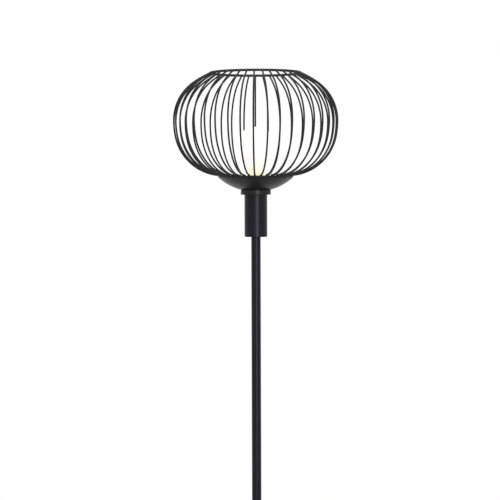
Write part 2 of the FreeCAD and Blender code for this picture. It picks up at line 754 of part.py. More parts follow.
write_node("lower_pole", make_pole(base_top, pole_joint))
write_node("lower_pole_foot_plug", make_plug(base_top, base_top + PLUG_LENGTH))
write_node("lower_pole_top_plug", make_plug(pole_joint - PLUG_LENGTH, pole_joint))
write_node("pole_joiner", make_pole_joiner())
write_node("upper_pole", make_pole(pole_joint, pole_top))
write_node("upper_pole_foot_plug", make_plug(pole_joint, pole_joint + PLUG_LENGTH))
write_node("upper_pole_top_plug", make_plug(pole_top - PLUG_LENGTH, pole_top))

write_node("holder_cup", make_holder_cup())
write_node("cup_stem", make_cup_stem())
write_node("stem_washer", rod_washer(pole_top + CUP_WALL))
write_node("stem_nut", hex_nut(pole_top + CUP_WALL + WASHER_THICKNESS))
write_node("cup_collar", make_cup_collar())
write_node("dish", make_dish())

write_node("holder_cap", make_holder_cap())
write_node("holder_neck_screw", neck_screw(NECK_SCREW_RADIUS, ROD_RADIUS + THREAD_CLEARANCE))
write_node("holder_core", make_holder_core())
write_node("holder_terminals", make_holder_terminals())
write_node("holder_terminal_screws", make_holder_terminal_screws())
write_node("screw_shell", make_screw_shell())
write_node("centre_contact", make_centre_contact())
write_node("holder_skirt", make_holder_skirt())
write_node("shade_ring", make_shade_ring())
write_node("lead_live", make_lead(-1))
write_node("lead_neutral", make_lead(1))

write_node("bulb_globe", make_bulb_globe())
write_node("bulb_cap", make_bulb_cap())
write_node("bulb_insulator", make_bulb_insulator())
write_node("bulb_end_contact", make_bulb_end_contact())
write_node("bulb_stem", make_bulb_stem())
write_node("bulb_filaments", make_bulb_filaments())

write_node("cage_top_ring", top_ring)
write_node("cage_bottom_ring", bottom_ring)
write_node("cage_ribs", make_cage_ribs([top_ring, bottom_ring]))
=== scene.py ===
import math

import bmesh
import bpy
from mathutils import Matrix, Vector


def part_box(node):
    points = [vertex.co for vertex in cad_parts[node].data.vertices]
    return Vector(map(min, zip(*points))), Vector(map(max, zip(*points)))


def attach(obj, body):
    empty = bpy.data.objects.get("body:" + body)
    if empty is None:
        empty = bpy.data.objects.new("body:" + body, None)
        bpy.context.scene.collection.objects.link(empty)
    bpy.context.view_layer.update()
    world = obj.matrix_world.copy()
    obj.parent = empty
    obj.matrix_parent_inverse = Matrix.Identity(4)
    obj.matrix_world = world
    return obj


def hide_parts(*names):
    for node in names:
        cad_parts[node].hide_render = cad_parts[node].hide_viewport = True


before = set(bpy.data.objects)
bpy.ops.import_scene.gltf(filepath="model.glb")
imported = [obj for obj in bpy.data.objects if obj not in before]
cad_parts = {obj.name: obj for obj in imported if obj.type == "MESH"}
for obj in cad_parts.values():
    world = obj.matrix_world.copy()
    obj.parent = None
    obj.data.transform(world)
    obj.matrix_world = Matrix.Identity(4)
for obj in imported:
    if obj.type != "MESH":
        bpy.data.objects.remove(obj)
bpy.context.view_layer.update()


# ---- Camera -------------------------------------------------------------------------------------
# A long lens looks at the cage from under four metres away, from just below the dish's rim, tilted
# slightly down and held a little out of level. The foot is out of its view.

CAMERA_DISTANCE = 3.67
CAMERA_ASIDE = -0.0117
CAMERA_BELOW_RIM = 0.0257
CAMERA_TILT = math.radians(1.878)
CAMERA_ROLL = math.radians(0.18)
LENS_LENGTH_MM = 130.8
SENSOR_WIDTH_MM = 36.0
rim_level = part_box("dish")[1].z

lens = bpy.data.cameras.new("camera")
lens.lens = LENS_LENGTH_MM
lens.sensor_width = SENSOR_WIDTH_MM
camera = bpy.data.objects.new("camera", lens)
camera.location = (CAMERA_ASIDE, -CAMERA_DISTANCE, rim_level - CAMERA_BELOW_RIM)
camera.rotation_euler = (math.pi / 2 - CAMERA_TILT, CAMERA_ROLL, 0)
bpy.context.scene.collection.objects.link(camera)
bpy.context.scene.camera = camera
bpy.context.scene.view_settings.view_transform = "Standard"


# ---- Studio -------------------------------------------------------------------------------------
# A pale floor that runs out into white, an even white surround, one tall strip lamp beside the
# camera, and a broad soft lamp overhead.

class Value:
    """A socket of a node tree. Sums and products of values add the nodes that work them out."""

    def __init__(self, tree, socket):
        self.tree = tree
        self.socket = socket

    def __getitem__(self, name):
        """Another output of the same node."""
        return Value(self.tree, self.socket.node.outputs[name])

    def __add__(self, other):
        return self.tree.maths("ADD", self, other)

    def __sub__(self, other):
        return self.tree.maths("SUBTRACT", self, other)

    def __rsub__(self, other):
        return self.tree.maths("SUBTRACT", other, self)

    def __mul__(self, other):
        return self.tree.maths("MULTIPLY", self, other)

    def __truediv__(self, other):
        return self.tree.maths("DIVIDE", self, other)

    __radd__ = __add__
    __rmul__ = __mul__

    def sine(self):
        return self.tree.maths("SINE", self, 0.0)


class Tree:
    """Builds a node tree from nothing."""

    def __init__(self, tree):
        self.tree = tree
        tree.nodes.clear()

    def node(self, kind, settings=None, sockets=None, out=0):
        """Adds a node: its settings first, then the numbers or links of its sockets."""
        node = self.tree.nodes.new(kind)
        for name, setting in (settings or {}).items():
            if name == "stops":
                self.set_stops(node.color_ramp, setting)
            else:
                setattr(node, name, setting)
        for key, source in (sockets or {}).items():
            socket = self.input_of(node, key)
            if isinstance(source, Value):
                self.tree.links.new(source.socket, socket)
            else:
                socket.default_value = source
        return Value(self, node.outputs[out]) if len(node.outputs) else None

    def maths(self, operation, first, second):
        return self.node("ShaderNodeMath", {"operation": operation}, {0: first, 1: second})

    @staticmethod
    def input_of(node, key):
        if isinstance(key, int):
            return node.inputs[key]
        return next(socket for socket in node.inputs if key in (socket.identifier, socket.name))

    @staticmethod
    def set_stops(ramp, stops):
        """Gives a colour ramp its (position, colour) stops."""
        while len(ramp.elements) < len(stops):
            ramp.elements.new(1.0)
        for element, (position, colour) in zip(ramp.elements, stops):
            element.position = position
            element.color = (*colour, 1.0)


WHITE = (1.0, 1.0, 1.0, 1.0)
SURROUND_LEVEL = 0.50


def seen_directly(tree):
    """1 for a ray from the camera, from a gloss or through glass, 0 for any other."""
    ray = tree.node("ShaderNodeLightPath")
    seen = tree.maths("MAXIMUM", ray["Is Camera Ray"], ray["Is Glossy Ray"])
    return tree.maths("MAXIMUM", seen, ray["Is Transmission Ray"])


surround = bpy.data.worlds.new("surround")
surround.use_nodes = True
surround_tree = Tree(surround.node_tree)
surround_strength = SURROUND_LEVEL + seen_directly(surround_tree) * (1 - SURROUND_LEVEL)
surround_light = surround_tree.node("ShaderNodeBackground", {},
                                    {"Color": WHITE, "Strength": surround_strength})
surround_tree.node("ShaderNodeOutputWorld", {}, {"Surface": surround_light})
bpy.context.scene.world = surround

FLOOR_RADIUS = 2.4
FLOOR_SIDES = 96
FLOOR_FADES_FROM = 0.5
FLOOR_FADES_TO = 2.0
FLOOR_COLOUR = (0.80, 0.80, 0.79, 1.0)

floor_material = bpy.data.materials.new("pale_floor")
floor_material.use_nodes = True
floor_tree = Tree(floor_material.node_tree)
floor_place = floor_tree.node("ShaderNodeTexCoord", out="Object")
floor_distance = floor_tree.node("ShaderNodeVectorMath", {"operation": "LENGTH"},
                                 {0: floor_place}, out="Value")
floor_fade = floor_tree.node("ShaderNodeMapRange", {"interpolation_type": "SMOOTHSTEP"},
                             {"Value": floor_distance, "From Min": FLOOR_FADES_FROM,
                              "From Max": FLOOR_FADES_TO})
floor_paint = floor_tree.node("ShaderNodeBsdfDiffuse", {}, {"Color": FLOOR_COLOUR})
floor_white = floor_tree.node("ShaderNodeEmission", {}, {"Color": WHITE, "Strength": 1.0})
floor_surface = floor_tree.node("ShaderNodeMixShader", {},
                                {0: floor_fade * seen_directly(floor_tree),
                                 1: floor_paint, 2: floor_white})
floor_tree.node("ShaderNodeOutputMaterial", {}, {"Surface": floor_surface})

floor_shape = bmesh.new()
bmesh.ops.create_circle(floor_shape, cap_ends=True, segments=FLOOR_SIDES, radius=FLOOR_RADIUS)
floor_mesh = bpy.data.meshes.new("floor")
floor_shape.to_mesh(floor_mesh)
floor_shape.free()
floor_mesh.materials.append(floor_material)
floor = bpy.data.objects.new("floor", floor_mesh)
bpy.context.scene.collection.objects.link(floor)


def area_lamp(name, width, height, power, turn, distance, level, aim_level):
    """Rectangular lamp aimed at the pole, some degrees round it to the camera's right."""
    lamp_data = bpy.data.lights.new(name, "AREA")
    lamp_data.shape = "RECTANGLE"
    lamp_data.size = width
    lamp_data.size_y = height
    lamp_data.energy = power
    lamp = bpy.data.objects.new(name, lamp_data)
    angle = math.radians(turn)
    place = Vector((distance * math.sin(angle), -distance * math.cos(angle), level))
    lamp.location = place
    lamp.rotation_euler = (Vector((0, 0, aim_level)) - place).to_track_quat("-Z", "Y").to_euler()
    lamp.visible_camera = False
    bpy.context.scene.collection.objects.link(lamp)


area_lamp("strip_lamp", width=0.48, height=1.7, power=35.5, turn=13.5, distance=2.6,
          level=1.35, aim_level=1.25)
area_lamp("overhead_lamp", width=2.6, height=2.6, power=42.0, turn=-40.0, distance=1.2,
          level=3.6, aim_level=1.0)


# ---- Foot: felt ---------------------------------------------------------------------------------
# A disc of pressed black felt, glued under the foot so that it doesn't scratch the floor. Its edge
# is cut square and a little inside the cover's, and the lamp's weight has softened the corner.

MM = 0.001
FELT_EDGE = 0.6 * MM
FLAT_STARTS_AT = 1.15  # of the distance from a corner to the end of its round
ON_AXIS = 1e-7
SHARP_ANGLE = math.radians(35)


def rounded(*corners, steps=6):
    """Closed outline of (radius, level) points. A third number rounds that corner.

    Each round gets a point on either side of it, so that the flats beside it shade flat.
    """
    outline = []
    for index, corner in enumerate(corners):
        here = Vector(corner[:2])
        if len(corner) == 2:
            outline.append(here)
            continue
        edge_round = corner[2]
        back = (Vector(corners[index - 1][:2]) - here).normalized()
        ahead = (Vector(corners[(index + 1) % len(corners)][:2]) - here).normalized()
        half_angle = back.angle(ahead) / 2
        reach = edge_round / math.tan(half_angle)
        centre = here + (back + ahead).normalized() * (edge_round / math.sin(half_angle))
        first = (here + back * reach - centre).normalized()
        last = (here + ahead * reach - centre).normalized()
        outline.append(here + back * (reach * FLAT_STARTS_AT))
        for step in range(steps + 1):
            outline.append(centre + first.slerp(last, step / steps) * edge_round)
        outline.append(here + ahead * (reach * FLAT_STARTS_AT))
    return outline


def spun(name, outline, sides, radial=None):
    """Closed mesh turned about Z from an outline. radial(radius, level, turn) adds to a radius."""
    shape = bmesh.new()
    rings = []
    for radius, level in outline:
        ring = []
        for side in range(sides if radius > ON_AXIS else 1):
            turn = 2 * math.pi * side / sides
            reach = radius + (radial(radius, level, turn) if radial else 0)
            ring.append(shape.verts.new((reach * math.cos(turn), reach * math.sin(turn), level)))
        rings.append(ring)
    for ring, further in zip(rings, rings[1:] + rings[:1]):
        for side in range(sides):
            after = (side + 1) % sides
            corners = [ring[side % len(ring)], ring[after % len(ring)],
                       further[after % len(further)], further[side % len(further)]]
            corners = list(dict.fromkeys(corners))
            if len(corners) > 2:
                shape.faces.new(corners)
    if shape.calc_volume(signed=True) < 0:
        bmesh.ops.reverse_faces(shape, faces=shape.faces)
    return solid(name, shape)


def solid(name, shape):
    """Object from a finished bmesh, smooth but for its sharp edges."""
    mesh = bpy.data.meshes.new(name)
    shape.to_mesh(mesh)
    shape.free()
    mesh.shade_smooth()
    mesh.set_sharp_from_angle(angle=SHARP_ANGLE)
    piece = bpy.data.objects.new(name, mesh)
    bpy.context.scene.collection.objects.link(piece)
    return piece


def new_material(name):
    """Empty material and the tree that builds it."""
    material = bpy.data.materials.new(name)
    material.use_nodes = True
    return material, Tree(material.node_tree)


def close_material(tree, settings):
    """Ends a material in the one surface shader that carries its finish."""
    surface = tree.node("ShaderNodeBsdfPrincipled", {}, settings)
    tree.node("ShaderNodeOutputMaterial", {}, {"Surface": surface})


def noise(tree, size, detail=3.0, stretch=(1.0, 1.0, 1.0)):
    """Noise whose patches are about one size across."""
    place = tree.node("ShaderNodeTexCoord", out="Object")
    scaled = tree.node("ShaderNodeMapping", {}, {"Vector": place, "Scale": stretch})
    return tree.node("ShaderNodeTexNoise", {},
                     {"Vector": scaled, "Scale": 1 / size, "Detail": detail})


NOISE_LOW = 0.35
NOISE_HIGH = 0.65


def tinted(tree, factor, first, second):
    """Colour that drifts between two as a noise goes over most of its range."""
    return tree.node("ShaderNodeValToRGB", {"stops": [(NOISE_LOW, first), (NOISE_HIGH, second)]},
                     {"Fac": factor})


def bumped(tree, height, depth, strength=0.5):
    return tree.node("ShaderNodeBump", {},
                     {"Height": height, "Distance": depth, "Strength": strength})


def fit(piece, material, slot, body, *nodes):
    """Gives a finished piece its material and puts it on its body, in place of the plain solids."""
    if material:
        piece.data.materials.append(material)
    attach(piece, body)
    if nodes:
        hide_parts(*nodes)


def pressed_felt():
    material, tree = new_material("pressed_felt")
    fibres = noise(tree, 0.9 * MM, 5.0, (1.0, 1.0, 2.5))
    clumps = noise(tree, 6 * MM)
    close_material(tree, {
        "Base Color": tinted(tree, fibres * 0.7 + clumps * 0.3, (0.012, 0.012, 0.013),
                             (0.045, 0.045, 0.047)),
        "Roughness": 0.95,
        "Sheen Weight": 0.25,
        "Specular IOR Level": 0.15,
        "Normal": bumped(tree, fibres, 0.4 * MM)})
    return material


felt_low, felt_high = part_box("base_felt")
felt = spun("felt_pad", rounded((0, felt_low.z), (felt_high.x, felt_low.z, FELT_EDGE),
                                (felt_high.x, felt_high.z), (0, felt_high.z)), sides=192)
fit(felt, pressed_felt(), "black_felt", "stand", "base_felt")


# ---- Foot: cover --------------------------------------------------------------------------------
# A steel shell, spun to a flat top with a rounded shoulder and powder coated satin black like the
# rest of the lamp. The threaded rod clamps it between the pole and the weight.

COVER_SHOULDER = 6 * MM
COVER_WALL = 1.2 * MM
COVER_HEM = 0.3 * MM
ROD_HOLE_RADIUS = 5.4 * MM
INLET_LEVEL = 9 * MM
INLET_HOLE_RADIUS = 4.7 * MM
INLET_CUT_LENGTH = 30 * MM
INLET_SIDES = 48


def powder_coat(name, dark, pale, gloss_tint=WHITE):
    """Satin paint baked on: a fine orange-peel skin with barely cloudy colour and gloss."""
    material, tree = new_material(name)
    cloud = noise(tree, 45 * MM, 2.0)
    peel = noise(tree, 1.1 * MM, 2.0)
    speck = noise(tree, 0.25 * MM, 1.0)
    close_material(tree, {
        "Base Color": tinted(tree, cloud * 0.6 + speck * 0.4, dark, pale),
        "Roughness": 0.31 + cloud * 0.06 + speck * 0.03,
        "Specular IOR Level": 0.17,
        "Specular Tint": gloss_tint,
        "Normal": bumped(tree, peel * 0.7 + speck * 0.3, 0.09 * MM)})
    return material


cool_coat = powder_coat("satin_coat_cool", (0.0040, 0.0036, 0.0078), (0.0070, 0.0063, 0.0120),
                        gloss_tint=(0.90, 0.90, 1.0, 1.0))

cover_low, cover_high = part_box("base_cover")
cover_radius = cover_high.x
cover = spun("foot_cover", rounded(
    (ROD_HOLE_RADIUS, cover_high.z), (ROD_HOLE_RADIUS, cover_high.z - COVER_WALL),
    (cover_radius - COVER_WALL, cover_high.z - COVER_WALL, COVER_SHOULDER - COVER_WALL),
    (cover_radius - COVER_WALL, cover_low.z), (cover_radius, cover_low.z, COVER_HEM),
    (cover_radius, cover_high.z, COVER_SHOULDER), steps=10), sides=256)

# The inlet's hole through the back of the wall.
inlet_shape = bmesh.new()
bmesh.ops.create_cone(inlet_shape, cap_ends=True, segments=INLET_SIDES,
                      radius1=INLET_HOLE_RADIUS, radius2=INLET_HOLE_RADIUS,
                      depth=INLET_CUT_LENGTH,
                      matrix=Matrix.Translation((0, cover_radius, INLET_LEVEL))
                      @ Matrix.Rotation(math.pi / 2, 4, "X"))
inlet_cutter = solid("inlet_cutter", inlet_shape)
inlet_hole = cover.modifiers.new("inlet_hole", "BOOLEAN")
inlet_hole.operation = "DIFFERENCE"
inlet_hole.object = inlet_cutter
bored = cover.evaluated_get(bpy.context.evaluated_depsgraph_get())
bored_mesh = bpy.data.meshes.new_from_object(bored)
cover.modifiers.remove(inlet_hole)
cover.data = bored_mesh
bpy.data.objects.remove(inlet_cutter)
fit(cover, cool_coat, "black_powder_coat", "stand", "base_cover")


# ---- Foot: cord bush ----------------------------------------------------------------------------
# A black moulded bush in the cover's back wall, with a round flange outside and a clear bore that
# keeps the steel's edge off a cord.

BUSH_FLANGE_THICKNESS = 2.2 * MM
BUSH_BODY_RADIUS = 4.6 * MM
BUSH_BORE_RADIUS = 3.2 * MM
BUSH_EDGE = 0.3 * MM
BUSH_BORE_EDGE = 0.4 * MM
BUSH_MOUTH_ROUND = 0.8 * MM
BUSH_FLANGE_ROUND = 0.9 * MM


def moulded_plastic(name, dark, pale, roughness=0.5):
    """Moulded part with a fine spark-eroded skin."""
    material, tree = new_material(name)
    grain = noise(tree, 0.35 * MM, 2.0)
    flow = noise(tree, 14 * MM, 2.0, (1.0, 1.0, 0.4))
    close_material(tree, {
        "Base Color": tinted(tree, flow, dark, pale),
        "Roughness": roughness + grain * 0.12,
        "Specular IOR Level": 0.4,
        "Normal": bumped(tree, grain, 0.03 * MM, 0.4)})
    return material


black_plastic = moulded_plastic("black_plastic", (0.014, 0.014, 0.014), (0.024, 0.024, 0.025))

bush_low, bush_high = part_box("cord_bush")
flange_inside = bush_high.y - BUSH_FLANGE_THICKNESS
flange_radius = bush_high.x
bush = spun("cord_bush_moulding", rounded(
    (BUSH_BORE_RADIUS, bush_low.y, BUSH_BORE_EDGE), (BUSH_BODY_RADIUS, bush_low.y, BUSH_EDGE),
    (BUSH_BODY_RADIUS, flange_inside), (flange_radius, flange_inside, BUSH_EDGE),
    (flange_radius, bush_high.y, BUSH_FLANGE_ROUND),
    (BUSH_BORE_RADIUS, bush_high.y, BUSH_MOUTH_ROUND)), sides=64)
# It was turned about Z, and is laid along Y at the inlet's level.
bush.data.transform(Matrix.Translation((0, 0, INLET_LEVEL)) @ Matrix.Rotation(-math.pi / 2, 4, "X"))
fit(bush, black_plastic, "black_plastic", "stand", "cord_bush")


# ---- Foot: weight, fixings and terminal block ---------------------------------------------------
# A cast iron disc fills the cover. A hollow rod with a washer and nut holds it under the pole, and
# a nylon block in a pocket joins the cord to the two leads. All of it is behind the felt.

def dress(material, *nodes):
    """Gives the frame's own pieces their finish."""
    for name in nodes:
        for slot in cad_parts[name].material_slots:
            slot.material = material


def cast_iron():
    material, tree = new_material("cast_iron")
    sand = noise(tree, 0.8 * MM, 4.0)
    stain = noise(tree, 25 * MM)
    close_material(tree, {
        "Base Color": tinted(tree, sand * 0.4 + stain * 0.6, (0.10, 0.10, 0.105),
                             (0.20, 0.195, 0.19)),
        "Metallic": 0.6,
        "Roughness": 0.62 + sand * 0.2,
        "Normal": bumped(tree, sand, 0.3 * MM)})
    return material


def plated_metal(name, dark, pale, roughness):
    """Turned or stamped metal: fine rings round the axis under a bright plating."""
    material, tree = new_material(name)
    marks = noise(tree, 0.15 * MM, 1.0, (0.02, 0.02, 1.0))
    haze = noise(tree, 5 * MM)
    close_material(tree, {
        "Base Color": tinted(tree, haze, dark, pale),
        "Metallic": 1.0,
        "Roughness": roughness + haze * 0.12,
        "Normal": bumped(tree, marks, 0.01 * MM, 0.3)})
    return material


zinc = plated_metal("bright_zinc", (0.52, 0.53, 0.55), (0.66, 0.67, 0.69), 0.24)
dress(cast_iron(), "base_weight")
dress(zinc, "base_nipple", "base_washer", "base_nut", "terminal_block_screws")
dress(moulded_plastic("white_nylon", (0.74, 0.73, 0.69), (0.80, 0.79, 0.75), 0.42),
      "terminal_block")


# ---- Pole ---------------------------------------------------------------------------------------
# Two lengths of steel tube, butted end to end on a threaded joiner that hides inside. Each end has
# a turned plug pressed in, and the tubes' edges are broken so that the paint holds on them.

POLE_WALL = 1.2 * MM
TUBE_EDGE = 0.35 * MM

for tube_name, node in (("pole_lower_tube", "lower_pole"), ("pole_upper_tube", "upper_pole")):
    tube_low, tube_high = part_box(node)
    bore = tube_high.x - POLE_WALL
    tube = spun(tube_name, rounded(
        (bore, tube_low.z), (tube_high.x, tube_low.z, TUBE_EDGE),
        (tube_high.x, tube_high.z, TUBE_EDGE), (bore, tube_high.z), steps=3), sides=96)
    fit(tube, cool_coat, "black_powder_coat", "stand", node)

dress(zinc, "lower_pole_foot_plug", "lower_pole_top_plug", "pole_joiner",
      "upper_pole_foot_plug", "upper_pole_top_plug")


# ---- Cup ----------------------------------------------------------------------------------------
# A short wide steel tube with a welded floor, which hides the lampholder. Its floor has a tight
# edge and stands on the pole's end, and a nut inside draws the two together.

CUP_WALL = 1.2 * MM
CUP_EDGE = 1.0 * MM

cup_low, cup_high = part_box("holder_cup")
cup_radius = cup_high.x
cup = spun("cup_shell", rounded(
    (ROD_HOLE_RADIUS, cup_low.z), (cup_radius, cup_low.z, CUP_EDGE),
    (cup_radius, cup_high.z), (cup_radius - CUP_WALL, cup_high.z),
    (cup_radius - CUP_WALL, cup_low.z + CUP_WALL),
    (ROD_HOLE_RADIUS, cup_low.z + CUP_WALL)), sides=128)
fit(cup, cool_coat, "black_powder_coat", "stand", "holder_cup")
dress(zinc, "cup_stem", "stem_washer", "stem_nut")


# ---- Collar -------------------------------------------------------------------------------------
# A ring turned from bar, rebated underneath to sit on the cup's rim. The dish rests on its flat
# top, and both its outer edges are chamfered.

COLLAR_EDGE = 0.6 * MM
COLLAR_BORE_EDGE = 0.2 * MM
COLLAR_REBATE = 5 * MM
COLLAR_SLIP = 0.05 * MM
SKIRT_HOLE_RADIUS = 20.15 * MM

neutral_coat = powder_coat("satin_coat", (0.0100, 0.0100, 0.0101), (0.0142, 0.0142, 0.0144))

collar_low, collar_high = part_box("cup_collar")
collar_radius = collar_high.x
rebate_radius = cup_radius + COLLAR_SLIP
rebate_level = collar_low.z + COLLAR_REBATE
collar = spun("collar_ring", rounded(
    (rebate_radius, collar_low.z, COLLAR_BORE_EDGE), (collar_radius, collar_low.z, COLLAR_EDGE),
    (collar_radius, collar_high.z, COLLAR_EDGE),
    (SKIRT_HOLE_RADIUS, collar_high.z, COLLAR_BORE_EDGE),
    (SKIRT_HOLE_RADIUS, rebate_level), (rebate_radius, rebate_level), steps=3), sides=160)
fit(collar, neutral_coat, "black_powder_coat", "stand", "cup_collar")


# ---- Dish ---------------------------------------------------------------------------------------
# Spun from one steel disc: a shallow spherical wall round a flat seat, with a hole that drops over
# the lampholder's skirt. The rim is trimmed and its edge rubbed round before painting.

DISH_WALL = 1.2 * MM
DISH_SEAT_RADIUS = 28 * MM
DISH_ARC_STEPS = 28
DISH_RIM_STEPS = 8

dish_low, dish_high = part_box("dish")
dish_radius = dish_high.x
dish_depth = dish_high.z - dish_low.z
# The wall's centre of curvature is above the rim, at equal distances from the rim and the seat.
curve_height = (dish_radius ** 2 - DISH_SEAT_RADIUS ** 2 - dish_depth ** 2) / (2 * dish_depth)
curve_centre = Vector((0, dish_high.z + curve_height))
curve_radius = math.hypot(dish_radius, curve_height)


def dish_wall(inset, first_level, last_level):
    """Points along the spherical wall, on the face that lies inset from the outer one."""
    radius = curve_radius - inset
    first = math.acos((curve_centre.y - first_level) / radius)
    last = math.acos((curve_centre.y - last_level) / radius)
    points = []
    for step in range(DISH_ARC_STEPS + 1):
        angle = first + (last - first) * step / DISH_ARC_STEPS
        points.append(curve_centre + Vector((math.sin(angle), -math.cos(angle))) * radius)
    return points


outer_wall = dish_wall(0, dish_low.z, dish_high.z - DISH_WALL / 2)
inner_wall = dish_wall(DISH_WALL, dish_high.z - DISH_WALL / 2, dish_low.z + DISH_WALL)
rim_middle = (outer_wall[-1] + inner_wall[0]) / 2
rim_across = outer_wall[-1] - rim_middle
rim_up = Vector((-rim_across.y, rim_across.x))
rim_turns = [math.pi * step / DISH_RIM_STEPS for step in range(1, DISH_RIM_STEPS)]
rim_edge = [rim_middle + rim_across * math.cos(turn) + rim_up * math.sin(turn)
            for turn in rim_turns]
dish = spun("dish_pan", [
    Vector((SKIRT_HOLE_RADIUS, dish_low.z)), *outer_wall, *rim_edge, *inner_wall,
    Vector((SKIRT_HOLE_RADIUS, dish_low.z + DISH_WALL))], sides=224)
fit(dish, neutral_coat, "black_powder_coat", "stand", "dish")


# ---- Lampholder: case, core and contacts --------------------------------------------------------
# A moulded cap screws on the stem and holds a ceramic core. The core carries two brass posts with
# their screws, the sprung centre contact, and the threaded brass shell that takes the bulb.

CAP_PITCH = 25.4 * MM / 7
CAP_THREAD_STEP = CAP_PITCH / 14
CAP_THREADED_PAST = 12 * MM
THREAD_DEPTH = 0.5 * MM
THREAD_END_MARGIN = 0.01 * MM
SHELL_MEAN_BORE = 12.85 * MM
SHELL_WALL = 0.4 * MM
SHELL_FLOOR_HOLE = 7.5 * MM
SHELL_FOOT = 1.6 * MM


def thread(pitch, depth, low, high, least_radius, run_out=0.0):
    """Rounded right-hand thread on the walls past a radius.

    It runs out at both its ends: to the middle of the wall, or with a run_out of 1 to the thread's
    outer face and with -1 to its inner one, so that a mating thread passes.
    """
    def height(radius, level, turn):
        inside = min(level - low, high - level)
        if radius < least_radius or inside < -THREAD_END_MARGIN:
            return 0.0
        fade = min(max(inside, 0.0) / (pitch / 2), 1.0)
        wave = math.cos(turn - 2 * math.pi * level / pitch)
        return depth * (fade * wave + (1 - fade) * run_out)
    return height


def wall(radius, low, high, step):
    """Evenly spaced points up or down a straight wall."""
    count = max(2, round(abs(high - low) / step))
    return [Vector((radius, low + (high - low) * index / count)) for index in range(count + 1)]


def porcelain():
    material, tree = new_material("porcelain")
    speckle = noise(tree, 0.6 * MM, 3.0)
    body = noise(tree, 9 * MM)
    close_material(tree, {
        "Base Color": tinted(tree, body * 0.7 + speckle * 0.3, (0.72, 0.70, 0.65),
                             (0.80, 0.78, 0.74)),
        "Roughness": 0.45 + speckle * 0.15,
        "Normal": bumped(tree, speckle, 0.05 * MM, 0.4)})
    return material


brass = plated_metal("stamped_brass", (0.62, 0.44, 0.19), (0.74, 0.55, 0.27), 0.22)

shell_low, shell_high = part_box("screw_shell")
shell_outside = SHELL_MEAN_BORE + SHELL_WALL
shell_floor = shell_low.z + SHELL_WALL
shell = spun("brass_screw_shell", [
    Vector((SHELL_FLOOR_HOLE, shell_low.z)),
    *wall(shell_outside, shell_low.z, shell_high.z, CAP_THREAD_STEP),
    *wall(SHELL_MEAN_BORE, shell_high.z, shell_floor, CAP_THREAD_STEP),
    Vector((SHELL_FLOOR_HOLE, shell_floor))], sides=96,
    radial=thread(CAP_PITCH, THREAD_DEPTH, shell_low.z + SHELL_FOOT, shell_high.z,
                  CAP_THREADED_PAST, run_out=1.0))
fit(shell, brass, "brass", "stand", "screw_shell")

dress(black_plastic, "holder_cap")
dress(zinc, "holder_neck_screw")
dress(porcelain(), "holder_core")
dress(brass, "holder_terminals", "holder_terminal_screws", "centre_contact")


# ---- Lampholder: skirt and shade ring -----------------------------------------------------------
# The case's upper half stands through the dish. It is threaded outside, and a ring with finger
# grips screws down on it and clamps the dish on the collar.

SKIRT_WALL = 2.2 * MM
SKIRT_LIP_RADIUS = 14.4 * MM
SKIRT_LIP = 3 * MM
SKIRT_LIP_ROUND = 0.8 * MM
SKIRT_TOP_EDGE = 0.5 * MM
SKIRT_TOP_EDGE_MIDDLE = 0.15 * MM
SKIRT_REBATE_RADIUS = 18.7 * MM
SKIRT_REBATE = 3 * MM
SKIRT_PITCH = 2.5 * MM
SKIRT_THREAD_STEP = SKIRT_PITCH / 10
SKIRT_THREAD_DEPTH = 0.3 * MM
SKIRT_THREADED_PAST = 19 * MM
SKIRT_PLAIN_FOOT = 12 * MM
SKIRT_PLAIN_TOP = 1 * MM

skirt_low, skirt_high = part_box("holder_skirt")
skirt_mean = skirt_high.x - SKIRT_THREAD_DEPTH
skirt_bore = skirt_high.x - SKIRT_WALL
skirt_outside = wall(skirt_mean, skirt_low.z, skirt_high.z - SKIRT_TOP_EDGE, SKIRT_THREAD_STEP)
skirt_inside = rounded(
    (SKIRT_LIP_RADIUS, skirt_high.z, SKIRT_LIP_ROUND),
    (SKIRT_LIP_RADIUS, skirt_high.z - SKIRT_LIP), (skirt_bore, skirt_high.z - SKIRT_LIP),
    (skirt_bore, skirt_low.z + SKIRT_REBATE), (SKIRT_REBATE_RADIUS, skirt_low.z + SKIRT_REBATE))
skirt = spun("holder_skirt_moulding", [
    Vector((SKIRT_REBATE_RADIUS, skirt_low.z)), *skirt_outside,
    Vector((skirt_mean - SKIRT_TOP_EDGE_MIDDLE, skirt_high.z - SKIRT_TOP_EDGE_MIDDLE)),
    Vector((skirt_mean - SKIRT_TOP_EDGE, skirt_high.z)), *skirt_inside], sides=96,
    radial=thread(SKIRT_PITCH, SKIRT_THREAD_DEPTH, skirt_low.z + SKIRT_PLAIN_FOOT,
                  skirt_high.z - SKIRT_PLAIN_TOP, SKIRT_THREADED_PAST))
fit(skirt, black_plastic, "black_plastic", "stand", "holder_skirt")

RING_SLIP = 0.1 * MM
RING_FOOT_EDGE = 0.3 * MM
RING_TOP_ROUND = 0.7 * MM
RING_BORE_ROUND = 0.5 * MM
GRIP_COUNT = 36
GRIP_RADIUS = 0.75 * MM
GRIP_PROUD = 0.6 * GRIP_RADIUS
GRIP_CLEAR_EDGE = 0.8 * MM
GRIP_SEGMENTS = 12
GRIP_ROWS = 8
FIRST_GRIP_TURN = 0.04

ring_low, ring_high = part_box("shade_ring")
ring_body_radius = ring_high.x - GRIP_PROUD
ring_bore = skirt_high.x + RING_SLIP
shade_ring = spun("shade_ring_body", rounded(
    (ring_bore, ring_low.z, RING_FOOT_EDGE), (ring_body_radius, ring_low.z, RING_FOOT_EDGE),
    (ring_body_radius, ring_high.z, RING_TOP_ROUND),
    (ring_bore, ring_high.z, RING_BORE_ROUND)), sides=144)
fit(shade_ring, black_plastic, "black_plastic", "stand", "shade_ring")


